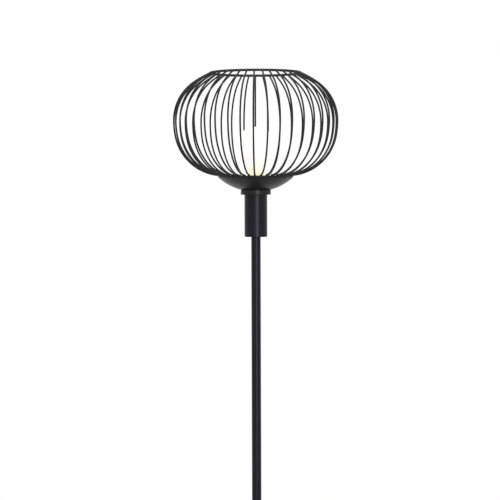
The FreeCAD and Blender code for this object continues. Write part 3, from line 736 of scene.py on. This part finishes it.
def new_geometry_tree(name, *inputs):
    """Geometry tree with named (name, socket type, default) inputs, and its group input."""
    group = bpy.data.node_groups.new(name, "GeometryNodeTree")
    group.interface.new_socket("Geometry", in_out="INPUT", socket_type="NodeSocketGeometry")
    for input_name, socket_type, default in inputs:
        socket = group.interface.new_socket(input_name, in_out="INPUT", socket_type=socket_type)
        socket.default_value = default
    group.interface.new_socket("Geometry", in_out="OUTPUT", socket_type="NodeSocketGeometry")
    tree = Tree(group)
    return group, tree, tree.node("NodeGroupInput")


def even_turn(tree, given):
    """Turn of each copy from the first, at an even pitch."""
    return tree.node("GeometryNodeInputIndex") * (2 * math.pi) / given["Count"]


def copies_round_axis(tree, given, instance, turn):
    """Instances round Z, each turned from the first one's place."""
    points = tree.node("GeometryNodePoints", {}, {"Count": given["Count"]})
    rotation = tree.node("ShaderNodeCombineXYZ", {}, {"Z": given["First turn"] + turn})
    return tree.node("GeometryNodeInstanceOnPoints", {},
                     {"Points": points, "Instance": instance, "Rotation": rotation})


def close_geometry_tree(tree, geometry, material):
    """Ends a tree in plain smooth faces with their material."""
    real = tree.node("GeometryNodeRealizeInstances", {}, {"Geometry": geometry})
    smooth = tree.node("GeometryNodeSetShadeSmooth", {}, {"Geometry": real})
    done = tree.node("GeometryNodeSetMaterial", {}, {"Geometry": smooth, "Material": material})
    tree.node("NodeGroupOutput", {}, {"Geometry": done})


def grown(name, mesh, group, sizes):
    """Runs a geometry tree on a mesh, with sizes for its named inputs, into a plain object."""
    piece = bpy.data.objects.new(name, mesh)
    bpy.context.scene.collection.objects.link(piece)
    modifier = piece.modifiers.new(group.name, "NODES")
    modifier.node_group = group
    for socket in group.interface.items_tree:
        if socket.name in sizes:
            modifier[socket.identifier] = sizes[socket.name]
    evaluated = piece.evaluated_get(bpy.context.evaluated_depsgraph_get())
    result = bpy.data.meshes.new_from_object(evaluated)
    piece.modifiers.remove(modifier)
    piece.data = result
    return piece


grip_place = (ring_high.x - GRIP_RADIUS, 0, (ring_low.z + ring_high.z) / 2)
grip_size = (GRIP_RADIUS, GRIP_RADIUS, (ring_high.z - ring_low.z) / 2 - GRIP_CLEAR_EDGE)
grip_group, grip_tree, grip_given = new_geometry_tree(
    "finger_grips", ("Count", "NodeSocketInt", GRIP_COUNT),
    ("First turn", "NodeSocketFloat", FIRST_GRIP_TURN),
    ("Place", "NodeSocketVector", grip_place), ("Size", "NodeSocketVector", grip_size))
grip_ball = grip_tree.node("GeometryNodeMeshUVSphere", {},
                           {"Segments": GRIP_SEGMENTS, "Rings": GRIP_ROWS, "Radius": 1.0})
one_grip = grip_tree.node("GeometryNodeTransform", {},
                          {"Geometry": grip_ball, "Translation": grip_given["Place"],
                           "Scale": grip_given["Size"]})
grip_ring = copies_round_axis(grip_tree, grip_given, one_grip, even_turn(grip_tree, grip_given))
close_geometry_tree(grip_tree, grip_ring, black_plastic)

grips = grown("shade_ring_grips", bpy.data.meshes.new("finger_grips"), grip_group,
              {"Count": GRIP_COUNT, "First turn": FIRST_GRIP_TURN, "Place": grip_place,
               "Size": grip_size})
fit(grips, None, "black_plastic", "stand")


# ---- Leads --------------------------------------------------------------------------------------
# Two single insulated leads, brown and blue, that run from the terminal block through the hollow
# rods and up the pole to the lampholder's posts.

def insulation(name, dark, pale):
    material, tree = new_material(name)
    skin = noise(tree, 1.5 * MM, 2.0, (1.0, 1.0, 0.3))
    close_material(tree, {
        "Base Color": tinted(tree, skin, dark, pale),
        "Roughness": 0.40 + skin * 0.15,
        "Normal": bumped(tree, skin, 0.03 * MM, 0.3)})
    return material


dress(insulation("brown_insulation", (0.13, 0.055, 0.025), (0.18, 0.085, 0.045)), "lead_live")
dress(insulation("blue_insulation", (0.035, 0.11, 0.36), (0.06, 0.16, 0.46)), "lead_neutral")


# ---- Bulb: globe --------------------------------------------------------------------------------
# An opal glass envelope, blown as a ball that runs straight into a tapering neck. It is lit evenly
# white, and yellower low on the neck, where the light sticks inside don't reach.

GLASS_WALL = 0.8 * MM
NECK_RADIUS = 13.6 * MM
NECK_STEPS = 10
NECK_EDGE = 0.3 * MM
SLEEVE_RADIUS = 12.4 * MM
GLOBE_ARC_STEPS = 40
GLOW_STRENGTH = 1.0
YELLOW_HEIGHT = 30 * MM
NECK_GLOW = ((0.0, (0.90, 0.82, 0.55)), (0.35, (0.90, 0.87, 0.64)), (0.6, (0.90, 0.89, 0.76)),
             (0.8, (0.89, 0.88, 0.83)), (1.0, (0.87, 0.86, 0.84)))

globe_low, globe_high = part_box("bulb_globe")
bulb_cap_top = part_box("bulb_cap")[1].z
globe_radius = globe_high.x
globe_centre = Vector((0, globe_high.z - globe_radius))


def lit_opal_glass():
    material, tree = new_material("lit_opal_glass")
    place = tree.node("ShaderNodeTexCoord", out="Object")
    level = tree.node("ShaderNodeSeparateXYZ", {}, {"Vector": place}, out="Z")
    up_neck = tree.node("ShaderNodeMapRange", {}, {
        "Value": level, "From Min": bulb_cap_top, "From Max": bulb_cap_top + YELLOW_HEIGHT})
    cloud = noise(tree, 20 * MM)
    glow = tree.node("ShaderNodeValToRGB", {"stops": NECK_GLOW},
                     {"Fac": up_neck + (cloud - 0.5) * 0.1})
    close_material(tree, {
        "Base Color": tinted(tree, cloud, (0.18, 0.175, 0.165), (0.22, 0.215, 0.205)),
        "Roughness": 0.22 + cloud * 0.06,
        "Emission Color": glow,
        "Emission Strength": GLOW_STRENGTH})
    return material


def ball_arc(radius, from_angle, to_angle):
    """Points on the globe's circle, by their angle above the horizontal."""
    turns = (from_angle + (to_angle - from_angle) * step / GLOBE_ARC_STEPS
             for step in range(GLOBE_ARC_STEPS + 1))
    return [globe_centre + Vector((math.cos(turn), math.sin(turn))) * radius for turn in turns]


# The neck is a straight wall, which meets the ball where it is tangent to it.
neck_height = globe_centre.y - bulb_cap_top
neck_lean = (math.asin(globe_radius / math.hypot(NECK_RADIUS, neck_height))
             - math.atan2(NECK_RADIUS, neck_height))
neck_edge = Vector((NECK_RADIUS, bulb_cap_top))
ball_outside = ball_arc(globe_radius, -neck_lean, math.pi / 2)
ball_inside = ball_arc(globe_radius - GLASS_WALL, math.pi / 2, -neck_lean)
neck_bore = NECK_RADIUS + GLASS_WALL * (math.tan(neck_lean) - 1 / math.cos(neck_lean))
neck_wall = [neck_edge.lerp(ball_outside[0], step / NECK_STEPS) for step in range(1, NECK_STEPS)]
ball_outside[-1].x = 0
ball_inside[0].x = 0
globe = spun("opal_globe", [
    Vector((SLEEVE_RADIUS, globe_low.z)), Vector((SLEEVE_RADIUS, bulb_cap_top)),
    neck_edge - Vector((NECK_EDGE, 0)), neck_edge + Vector((0, NECK_EDGE)), *neck_wall,
    *ball_outside, *ball_inside, Vector((neck_bore, bulb_cap_top + GLASS_WALL)),
    Vector((SLEEVE_RADIUS - GLASS_WALL, bulb_cap_top + GLASS_WALL)),
    Vector((SLEEVE_RADIUS - GLASS_WALL, globe_low.z))], sides=128)
fit(globe, lit_opal_glass(), "opal_glass", "bulb", "bulb_globe")


# ---- Bulb: stem and light sticks ----------------------------------------------------------------
# A clear glass stem is fused into the neck and carries four upright sticks of light-emitting chips
# under a yellow coat.

def clear_glass():
    material, tree = new_material("clear_glass")
    seeds = noise(tree, 3 * MM)
    close_material(tree, {
        "Base Color": tinted(tree, seeds, (0.86, 0.90, 0.89), (0.93, 0.95, 0.95)),
        "Roughness": 0.03 + seeds * 0.03,
        "IOR": 1.5,
        "Transmission Weight": 0.9,
        "Normal": bumped(tree, seeds, 0.05 * MM, 0.2)})
    return material


def stick_coat():
    material, tree = new_material("stick_coat")
    dabs = noise(tree, 1.2 * MM)
    close_material(tree, {
        "Base Color": tinted(tree, dabs, (0.80, 0.55, 0.12), (0.92, 0.70, 0.22)),
        "Roughness": 0.5 + dabs * 0.15,
        "Normal": bumped(tree, dabs, 0.08 * MM, 0.4)})
    return material


dress(clear_glass(), "bulb_stem")
dress(stick_coat(), "bulb_filaments")


# ---- Bulb: cap ----------------------------------------------------------------------------------
# A thin nickel-plated shell, rolled with the same thread as the lampholder's and crimped on the
# neck. Its lower end closes round a black glass insulator with the soldered end contact in it.

CAP_MEAN_RADIUS = 12.6 * MM
CAP_WALL = 0.3 * MM
CAP_FOOT_RADIUS = 10 * MM
CAP_FOOT_FLARE = 0.5 * MM
CAP_FOOT_RISE = 0.2 * MM
CAP_TAPER = 2 * MM
CAP_BAND = 2.5 * MM
CAP_BAND_FULL_AT = 0.7
CAP_BAND_FLARE = 0.1 * MM
CAP_LIP = 0.2 * MM
CAP_LIP_CRIMP = 0.15 * MM

nickel = plated_metal("nickel_plate", (0.60, 0.58, 0.54), (0.71, 0.69, 0.65), 0.20)
cap_low, cap_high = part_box("bulb_cap")
cap_edge = cap_high.x
cap_hole = CAP_FOOT_RADIUS - 2 * CAP_WALL
cap_thread_low = cap_low.z + CAP_TAPER
cap_thread_high = cap_high.z - CAP_BAND
cap_shell = spun("nickel_cap", [
    Vector((cap_hole, cap_low.z)), Vector((CAP_FOOT_RADIUS, cap_low.z)),
    Vector((CAP_FOOT_RADIUS + CAP_FOOT_FLARE, cap_low.z + CAP_FOOT_RISE)),
    *wall(CAP_MEAN_RADIUS, cap_thread_low, cap_thread_high, CAP_THREAD_STEP),
    Vector((cap_edge - CAP_BAND_FLARE, cap_high.z - CAP_BAND * CAP_BAND_FULL_AT)),
    Vector((cap_edge, cap_high.z - CAP_LIP)), Vector((cap_edge - CAP_LIP_CRIMP, cap_high.z)),
    Vector((cap_edge - CAP_WALL, cap_high.z)),
    *wall(CAP_MEAN_RADIUS - CAP_WALL, cap_thread_high, cap_thread_low + CAP_WALL,
          CAP_THREAD_STEP),
    Vector((cap_hole, cap_low.z + CAP_WALL))], sides=96,
    radial=thread(CAP_PITCH, THREAD_DEPTH, cap_thread_low, cap_thread_high, CAP_THREADED_PAST,
                  run_out=-1.0))
fit(cap_shell, nickel, "nickel_plate", "bulb", "bulb_cap")


def black_glass():
    material, tree = new_material("black_glass")
    swirl = noise(tree, 4 * MM)
    close_material(tree, {
        "Base Color": tinted(tree, swirl, (0.012, 0.010, 0.014), (0.030, 0.026, 0.034)),
        "Roughness": 0.10 + swirl * 0.08,
        "Normal": bumped(tree, swirl, 0.05 * MM, 0.2)})
    return material


INSULATOR_FOOT_ROUND = 0.4 * MM
INSULATOR_TOP_ROUND = 0.3 * MM
BUTTON_SLOPE = 1.2 * MM
BUTTON_ROUND = 1.0 * MM

insulator_low, insulator_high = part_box("bulb_insulator")
contact_low, contact_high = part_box("bulb_end_contact")
insulator = spun("glass_insulator", rounded(
    (0, insulator_low.z), (contact_high.x, insulator_low.z, INSULATOR_FOOT_ROUND),
    (insulator_high.x, insulator_high.z, INSULATOR_TOP_ROUND), (0, insulator_high.z)), sides=64)
fit(insulator, black_glass(), "black_glass", "bulb_lift", "bulb_insulator")
end_contact = spun("solder_button", rounded(
    (0, contact_low.z), (contact_high.x - BUTTON_SLOPE, contact_low.z, BUTTON_ROUND),
    (contact_high.x, contact_high.z), (0, contact_high.z)), sides=48)
fit(end_contact, plated_metal("solder", (0.50, 0.50, 0.50), (0.64, 0.64, 0.64), 0.30), "solder",
    "bulb_lift", "bulb_end_contact")


# ---- Cage: rings --------------------------------------------------------------------------------
# Two hoops of round steel wire, each closed with one butt weld. The small one stands on the dish's
# rim and the large one is the cage's open mouth.

MOUTH_WIRE_RADIUS = 2.5 * MM
FOOT_WIRE_RADIUS = 2 * MM
RING_SIDES = 288
RING_SECTION_SIDES = 16
BUTT_WELD_TURN = math.radians(96)
BUTT_WELD_SPREAD = 1.6 * MM
BUTT_WELD_SWELL = 0.12

# The wires get a darker copy of the same black coat that the dish and collar wear: painted shade,
# for the dark that the thin wires and the hoop on the rim show.
shaded_wire_coat = powder_coat("satin_coat_wires_painted_shade", (0.0076, 0.0074, 0.0090), (0.0112, 0.0110, 0.0129))


def wire_ring(name, node, mean_wire_radius):
    """Hoop of wire, a little swollen at its weld."""
    low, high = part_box(node)
    level = (low.z + high.z) / 2
    ring_radius = high.x - (high.z - low.z) / 2
    shape = bmesh.new()
    sections = []
    for side in range(RING_SIDES):
        turn = 2 * math.pi * side / RING_SIDES
        from_weld = (turn - BUTT_WELD_TURN) * ring_radius / BUTT_WELD_SPREAD
        wire_radius = mean_wire_radius * (1 + BUTT_WELD_SWELL * math.exp(-from_weld ** 2))
        section = []
        for step in range(RING_SECTION_SIDES):
            angle = 2 * math.pi * step / RING_SECTION_SIDES
            reach = ring_radius + wire_radius * math.cos(angle)
            section.append(shape.verts.new((reach * math.cos(turn), reach * math.sin(turn),
                                            level + wire_radius * math.sin(angle))))
        sections.append(section)
    for section, further in zip(sections, sections[1:] + sections[:1]):
        for step in range(RING_SECTION_SIDES):
            after = (step + 1) % RING_SECTION_SIDES
            shape.faces.new((section[step], further[step], further[after], section[after]))
    if shape.calc_volume(signed=True) < 0:
        bmesh.ops.reverse_faces(shape, faces=shape.faces)
    ring = solid(name, shape)
    # The hoop takes the darker wire coat: painted shade.
    fit(ring, shaded_wire_coat, "black_powder_coat", "stand", node)
    return Vector((ring_radius, level))


top_ring_place = wire_ring("cage_mouth_hoop", "cage_top_ring", MOUTH_WIRE_RADIUS)
bottom_ring_place = wire_ring("cage_foot_hoop", "cage_bottom_ring", FOOT_WIRE_RADIUS)


# ---- Cage: ribs ---------------------------------------------------------------------------------
# Forty thinner wires, bent alike in upright planes. Each starts on the large hoop, swells to the
# cage's waist and comes in over the small hoop, with a dab of weld at both ends.

RIB_COUNT = 40
RIB_WIRE_RADIUS = 1.75 * MM
RIB_WIRE_SIDES = 12
FIRST_RIB_TURN = math.radians(-1.4)
RIB_DRIFT = math.radians(0.58)
DRIFT_ONCE_FROM = math.radians(54)
DRIFT_TWICE_FROM = math.radians(-74)
RIB_WANDER = math.radians(0.5)
RIB_SEED = 302
CAGE_RADIUS = 165.2 * MM
CAGE_WIDEST_HEIGHT = 115 * MM
RIB_TOP_SLOPE = math.radians(24.0)
RIB_FOOT_SLOPE = math.radians(4.9)
UPPER_ARC_RATIO = 2.5
LOWER_ARC_RATIO = 5.0
RIB_STEP = 4.5 * MM
WELD_SINK = 0.9 * MM
WELD_DAB_RADIUS = 2.3 * MM
WELD_DAB_SEGMENTS = 12
WELD_DAB_ROWS = 8


def biarc_joint(start, start_heading, end, end_heading, ratio):
    """Point where two tangent arcs meet between two points with given headings.

    The tangents of the first arc cross a reach past the start, and those of the second arc ratio
    reaches before the end. These crossings are as far apart as both lengths together, and that
    makes the reach the root of a quadratic.
    """
    way = end - start
    mix = start_heading + end_heading * ratio
    second_order = mix.dot(mix) - (1 + ratio) ** 2
    first_order = -2 * way.dot(mix)
    root = math.sqrt(first_order * first_order - 4 * second_order * way.dot(way))
    reach = (-first_order - root) / (2 * second_order)
    near = start + start_heading * reach
    far = end - end_heading * (ratio * reach)
    return (near * ratio + far) / (1 + ratio)


def tangent_arc(start, heading, end):
    """Points after the start on the arc that leaves along a heading, and its last heading."""
    chord = end - start
    turn = 2 * heading.angle_signed(chord)
    length = chord.length * (turn / 2) / math.sin(turn / 2)
    count = max(2, math.ceil(abs(length) / RIB_STEP))
    points = []
    for step in range(1, count + 1):
        part = turn * step / count
        towards = Matrix.Rotation(-part / 2, 2) @ heading
        points.append(start + towards * (chord.length * math.sin(part / 2) / math.sin(turn / 2)))
    return points, Matrix.Rotation(-turn, 2) @ heading


heading = Vector((math.cos(RIB_TOP_SLOPE), -math.sin(RIB_TOP_SLOPE)))
foot_heading = Vector((-math.cos(RIB_FOOT_SLOPE), -math.sin(RIB_FOOT_SLOPE)))
straight_down = Vector((0, -1))
waist = Vector((CAGE_RADIUS, rim_level + CAGE_WIDEST_HEIGHT))
rib_foot = bottom_ring_place + Vector((0, FOOT_WIRE_RADIUS + RIB_WIRE_RADIUS - WELD_SINK))
rib_line = [top_ring_place]
for arc_end in (biarc_joint(top_ring_place, heading, waist, straight_down, UPPER_ARC_RATIO), waist,
                biarc_joint(waist, straight_down, rib_foot, foot_heading, LOWER_ARC_RATIO),
                rib_foot):
    arc_points, heading = tangent_arc(rib_line[-1], heading, arc_end)
    rib_line += arc_points
# The wire's upper end stops inside the hoop instead of at its middle.
rib_line[0] = top_ring_place + (rib_line[1] - rib_line[0]).normalized() * (MOUTH_WIRE_RADIUS / 2)

rib_group, rib_tree, rib_given = new_geometry_tree(
    "cage_wires", ("Count", "NodeSocketInt", RIB_COUNT),
    ("First turn", "NodeSocketFloat", FIRST_RIB_TURN), ("Drift", "NodeSocketFloat", RIB_DRIFT),
    ("Wander", "NodeSocketFloat", RIB_WANDER), ("Wire radius", "NodeSocketFloat", RIB_WIRE_RADIUS),
    ("Weld radius", "NodeSocketFloat", WELD_DAB_RADIUS))
rib_even_turn = even_turn(rib_tree, rib_given)
# The spacing drifts slowly round the hoop, in one long wave and one of half its length.
rib_drift = ((rib_even_turn + DRIFT_ONCE_FROM).sine()
             + (rib_even_turn * 2 + DRIFT_TWICE_FROM).sine()) * rib_given["Drift"]
rib_index = rib_tree.node("GeometryNodeInputIndex")
rib_share = rib_tree.node("FunctionNodeRandomValue", {"data_type": "FLOAT"},
                          {"Min_001": -1.0, "Max_001": 1.0, "ID": rib_index, "Seed": RIB_SEED},
                          out=1)
one_rib = rib_tree.node("GeometryNodeMeshToCurve", {}, {"Mesh": rib_given["Geometry"]})
rib_copies = copies_round_axis(rib_tree, rib_given, one_rib,
                               rib_even_turn + rib_drift + rib_share * rib_given["Wander"])
rib_curves = rib_tree.node("GeometryNodeRealizeInstances", {}, {"Geometry": rib_copies})
wire_section = rib_tree.node("GeometryNodeCurvePrimitiveCircle", {"mode": "RADIUS"},
                             {"Resolution": RIB_WIRE_SIDES, "Radius": rib_given["Wire radius"]})
wires = rib_tree.node("GeometryNodeCurveToMesh", {}, {"Curve": rib_curves,
                                                      "Profile Curve": wire_section,
                                                      "Fill Caps": True})
weld_dab = rib_tree.node("GeometryNodeMeshUVSphere", {},
                         {"Segments": WELD_DAB_SEGMENTS, "Rings": WELD_DAB_ROWS,
                          "Radius": rib_given["Weld radius"]})
wire_ends = rib_tree.node("GeometryNodeCurveEndpointSelection")
weld_dabs = rib_tree.node("GeometryNodeInstanceOnPoints", {},
                          {"Points": rib_curves, "Selection": wire_ends, "Instance": weld_dab})
wires_and_welds = rib_tree.node("GeometryNodeJoinGeometry", {}, {"Geometry": wires})
rib_tree.tree.links.new(weld_dabs.socket, wires_and_welds.socket.node.inputs[0])
# The wires and their welds take the darker wire coat: painted shade.
close_geometry_tree(rib_tree, wires_and_welds, shaded_wire_coat)

rib_mesh = bpy.data.meshes.new("rib_line")
rib_mesh.from_pydata([(point.x, 0, point.y) for point in rib_line],
                     [(index, index + 1) for index in range(len(rib_line) - 1)], [])
ribs = grown("cage_wires", rib_mesh, rib_group,
             {"Count": RIB_COUNT, "First turn": FIRST_RIB_TURN, "Drift": RIB_DRIFT,
              "Wander": RIB_WANDER, "Wire radius": RIB_WIRE_RADIUS,
              "Weld radius": WELD_DAB_RADIUS})
fit(ribs, None, "black_powder_coat", "stand", "cage_ribs")
